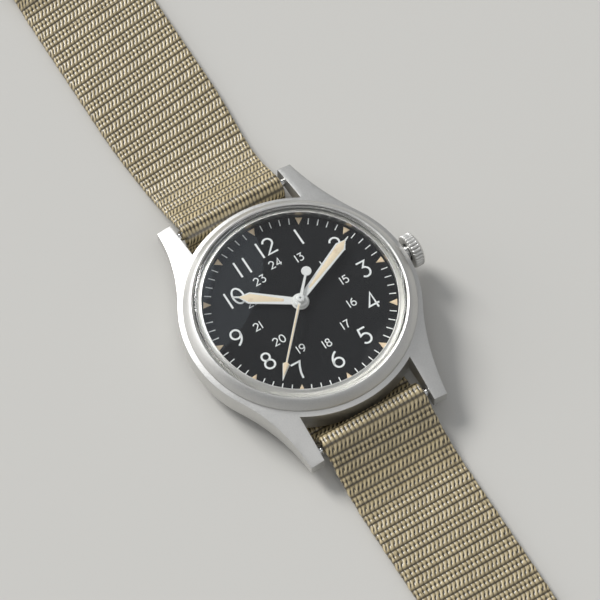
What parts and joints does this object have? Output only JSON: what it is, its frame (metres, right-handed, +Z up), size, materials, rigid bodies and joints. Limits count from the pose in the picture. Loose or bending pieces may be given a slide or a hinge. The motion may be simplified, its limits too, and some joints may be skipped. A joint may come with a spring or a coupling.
{
  "type": "wristwatch",
  "caption": "Hand-wound field wristwatch with round steel case, black 12 and 24 hour dial, domed crystal, fluted crown and one-piece woven strap with pin buckle, laid open and flat.",
  "frame": {"origin": "on the strap's underside, under the centre of the case, where the watch rests on a surface or against the wrist", "axes": "+Z up out of the dial, +Y to 12 o'clock and along the strap to the buckle, +X to 3 o'clock and the crown"},
  "size_m": [0.0372, 0.259, 0.0101],
  "materials": {
    "satin_steel": "fine bead-blasted stainless steel, matt silver grey",
    "steel": "plain machined steel",
    "plated_brass": "rhodium-plated brass, fine grained",
    "gilt_brass": "gilt brass",
    "crystal": "clear polished domed acrylic",
    "dial_black": "matt black paint with white printed figures",
    "hand_white": "white paint with cream luminous filling",
    "rubber": "black sealing rubber",
    "ruby": "polished synthetic ruby",
    "webbing": "ribbed khaki nylon webbing"
  },
  "bodies": {
    "case": {"case_middle": "satin_steel", "bezel": "satin_steel", "crystal": "crystal", "tension_ring": "steel", "case_back": "satin_steel", "back_gasket": "rubber", "movement_ring": "gilt_brass", "crown_tube": "steel", "dial": "dial_black", "main_plate": "plated_brass", "barrel_bridge": "plated_brass", "train_bridge": "plated_brass", "balance_cock": "plated_brass", "pallet_bridge": "plated_brass", "balance_spring": "steel", "jewels": "ruby", "bridge_screws": "steel", "bar_tube_12": "steel", "bar_tube_6": "steel", "bar_spring_12": "steel", "bar_spring_6": "steel", "strap_center": "webbing"},
    "minute_group": {"minute_hand": "hand_white", "cannon_pinion": "steel", "center_wheel": "gilt_brass"},
    "hour_group": {"hour_hand": "hand_white", "hour_wheel": "gilt_brass"},
    "seconds_group": {"second_hand": "hand_white", "fourth_wheel": "gilt_brass"},
    "third_group": {"third_wheel": "gilt_brass"},
    "escape_group": {"escape_wheel": "steel"},
    "barrel_group": {"barrel_drum": "gilt_brass", "barrel_cover": "gilt_brass", "mainspring": "steel"},
    "arbor_group": {"barrel_arbor": "steel", "ratchet_wheel": "steel"},
    "minute_work": {"minute_wheel": "gilt_brass"},
    "setting_work": {"setting_wheel": "gilt_brass"},
    "pallets": {"pallet_fork": "steel"},
    "balance": {"balance_wheel": "gilt_brass"},
    "crown_wheel_group": {"crown_wheel": "steel"},
    "click_group": {"click": "steel"},
    "winding_group": {"winding_pinion": "steel"},
    "crown_and_stem": {"crown": "satin_steel", "winding_stem": "steel", "crown_gasket": "rubber"},
    "clutch": {"sliding_pinion": "steel"},
    "setting_lever_group": {"setting_lever": "steel"},
    "yoke_group": {"yoke": "steel"},
    "bar_tip_12_left": {"tip_12_left": "steel"},
    "bar_tip_12_right": {"tip_12_right": "steel"},
    "bar_tip_6_left": {"tip_6_left": "steel"},
    "bar_tip_6_right": {"tip_6_right": "steel"},
    "buckle_arm": {"strap_buckle_side": "webbing", "fixed_keeper": "webbing"},
    "tail_arm": {"strap_tail_side": "webbing"},
    "loose_keeper": {"sliding_keeper": "webbing"},
    "buckle": {"buckle_frame": "steel", "buckle_bar": "steel"},
    "tongue": {"buckle_tongue": "steel"}
  },
  "joints": [
    {"name": "minute_hand_turn", "type": "hinge", "parent": "case", "child": "minute_group", "pos_m": [0, 0, 0.0043], "axis": [0, 0, -1], "continuous": true},
    {"name": "hour_hand_turn", "type": "hinge", "parent": "case", "child": "hour_group", "pos_m": [0, 0, 0.00595], "axis": [0, 0, -1], "continuous": true},
    {"name": "seconds_hand_turn", "type": "hinge", "parent": "case", "child": "seconds_group", "pos_m": [0, 0, 0.00285], "axis": [0, 0, -1], "continuous": true},
    {"name": "third_wheel_turn", "type": "hinge", "parent": "case", "child": "third_group", "pos_m": [-0.0032, -0.0024, 0.0031], "axis": [0, 0, -1], "continuous": true},
    {"name": "escape_wheel_turn", "type": "hinge", "parent": "case", "child": "escape_group", "pos_m": [0.00133, -0.00366, 0.0031], "axis": [0, 0, -1], "continuous": true},
    {"name": "barrel_turn", "type": "hinge", "parent": "case", "child": "barrel_group", "pos_m": [0.0014, 0.006, 0.0031], "axis": [0, 0, -1], "continuous": true},
    {"name": "minute_wheel_turn", "type": "hinge", "parent": "case", "child": "minute_work", "pos_m": [0.0024, 0, 0.0051], "axis": [0, 0, -1], "continuous": true},
    {"name": "setting_wheel_turn", "type": "hinge", "parent": "case", "child": "setting_work", "pos_m": [0.0054, 0, 0.0051], "axis": [0, 0, -1], "continuous": true},
    {"name": "crown_turn", "type": "hinge", "parent": "case", "child": "winding_group", "pos_m": [0.0093, 0, 0.00445], "axis": [1, 0, 0], "continuous": true},
    {"name": "crown_pull", "type": "slide", "parent": "winding_group", "child": "crown_and_stem", "axis": [1, 0, 0], "range_m": [0, 0.0008]},
    {"name": "clutch_shift", "type": "slide", "parent": "winding_group", "child": "clutch", "axis": [1, 0, 0], "range_m": [-0.000361, 0]},
    {"name": "setting_lever_swing", "type": "hinge", "parent": "case", "child": "setting_lever_group", "pos_m": [0.01025, -0.0022, 0.00555], "axis": [0, 0, 1], "range_deg": [-23, 0]},
    {"name": "yoke_swing", "type": "hinge", "parent": "case", "child": "yoke_group", "pos_m": [0.0085, 0.0026, 0.00555], "axis": [0, 0, 1], "range_deg": [-8.1, 0]},
    {"name": "crown_wheel_turn", "type": "hinge", "parent": "case", "child": "crown_wheel_group", "pos_m": [0.0069, 0, 0.00205], "axis": [0, 0, -1], "continuous": true},
    {"name": "ratchet_turn", "type": "hinge", "parent": "case", "child": "arbor_group", "pos_m": [0.0014, 0.006, 0.00205], "axis": [0, 0, -1], "continuous": true},
    {"name": "click_swing", "type": "hinge", "parent": "case", "child": "click_group", "pos_m": [-0.00511, 0.00774, 0.00205], "axis": [0, 0, 1], "range_deg": [0, 12], "stiffness_Nm_per_rad": 0.000001},
    {"name": "pallet_fork_swing", "type": "hinge", "parent": "case", "child": "pallets", "pos_m": [0.00256, -0.00579, 0.004], "axis": [0, 0, 1], "range_deg": [-5, 5]},
    {"name": "balance_swing", "type": "hinge", "parent": "case", "child": "balance", "pos_m": [0.00401, -0.0083, 0.0032], "axis": [0, 0, 1], "range_deg": [-270, 270], "stiffness_Nm_per_rad": 0.00000008},
    {"name": "bar_tip_12_left_press", "type": "slide", "parent": "case", "child": "bar_tip_12_left", "axis": [1, 0, 0], "range_m": [0, 0.00105], "stiffness_N_per_m": 300, "springref_m": -0.0005},
    {"name": "bar_tip_6_left_press", "type": "slide", "parent": "case", "child": "bar_tip_6_left", "axis": [1, 0, 0], "range_m": [0, 0.00105], "stiffness_N_per_m": 300, "springref_m": -0.0005},
    {"name": "bar_tip_12_right_press", "type": "slide", "parent": "case", "child": "bar_tip_12_right", "axis": [-1, 0, 0], "range_m": [0, 0.00105], "stiffness_N_per_m": 300, "springref_m": -0.0005},
    {"name": "bar_tip_6_right_press", "type": "slide", "parent": "case", "child": "bar_tip_6_right", "axis": [-1, 0, 0], "range_m": [0, 0.00105], "stiffness_N_per_m": 300, "springref_m": -0.0005},
    {"name": "strap_buckle_arm_fold", "type": "hinge", "parent": "case", "child": "buckle_arm", "pos_m": [0, 0.0196, 0.0031], "axis": [1, 0, 0], "range_deg": [-60, 0]},
    {"name": "strap_tail_arm_fold", "type": "hinge", "parent": "case", "child": "tail_arm", "pos_m": [0, -0.0196, 0.0031], "axis": [1, 0, 0], "range_deg": [0, 60]},
    {"name": "keeper_slide", "type": "slide", "parent": "buckle_arm", "child": "loose_keeper", "axis": [0, 1, 0], "range_m": [-0.003, 0.004]},
    {"name": "buckle_swing", "type": "hinge", "parent": "buckle_arm", "child": "buckle", "pos_m": [0, 0.104, 0.003], "axis": [1, 0, 0], "range_deg": [-20, 60]},
    {"name": "tongue_lift", "type": "hinge", "parent": "buckle", "child": "tongue", "pos_m": [0, 0.104, 0.003], "axis": [1, 0, 0], "range_deg": [0, 90]}
  ],
  "couplings": [
    {"joint": "hour_hand_turn", "follows": "minute_hand_turn", "ratio": 0.083333},
    {"joint": "seconds_hand_turn", "follows": "minute_hand_turn", "ratio": 60},
    {"joint": "third_wheel_turn", "follows": "minute_hand_turn", "ratio": -8},
    {"joint": "escape_wheel_turn", "follows": "minute_hand_turn", "ratio": -720},
    {"joint": "barrel_turn", "follows": "minute_hand_turn", "ratio": -0.14286},
    {"joint": "minute_wheel_turn", "follows": "minute_hand_turn", "ratio": -0.33333},
    {"joint": "setting_wheel_turn", "follows": "minute_hand_turn", "ratio": 0.5},
    {"joint": "clutch_shift", "follows": "crown_pull", "ratio": -0.45},
    {"joint": "setting_lever_swing", "follows": "crown_pull", "rad_per_m": -500},
    {"joint": "yoke_swing", "follows": "crown_pull", "rad_per_m": -175},
    {"joint": "crown_wheel_turn", "follows": "crown_turn", "ratio": -0.46667},
    {"joint": "ratchet_turn", "follows": "crown_turn", "ratio": 0.31818}
  ]
}
